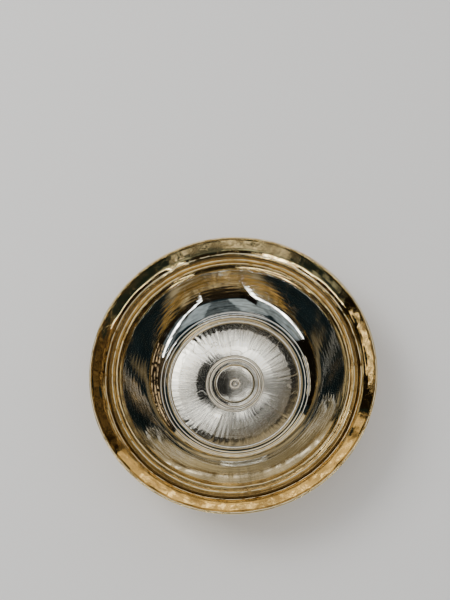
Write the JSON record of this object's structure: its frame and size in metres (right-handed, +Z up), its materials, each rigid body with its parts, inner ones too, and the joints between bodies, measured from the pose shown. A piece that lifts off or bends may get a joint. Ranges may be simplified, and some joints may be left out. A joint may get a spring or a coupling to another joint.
{
  "type": "brass urli bowl",
  "caption": "Shallow round brass bowl with a tinned inside, a flat shoulder with a turned bead, a flared lip with a wired edge and a low foot ring.",
  "frame": {"origin": "centre of the foot ring's resting plane, on the bowl's axis", "axes": "+Z up along the bowl's axis; X and Y are any two square directions, because the bowl is round"},
  "size_m": [0.305, 0.305, 0.073],
  "materials": {
    "brass": "polished, hand worked, with fine turning lines",
    "tin": "wiped and turned bright tin",
    "braze": "dull brazing metal"
  },
  "bodies": {
    "root": {"bowl_shell": "brass", "tin_lining": "tin", "lip_ring": "brass", "lip_braze": "braze", "edge_wire": "brass", "foot_ring": "brass", "foot_braze": "braze"}
  },
  "joints": []
}
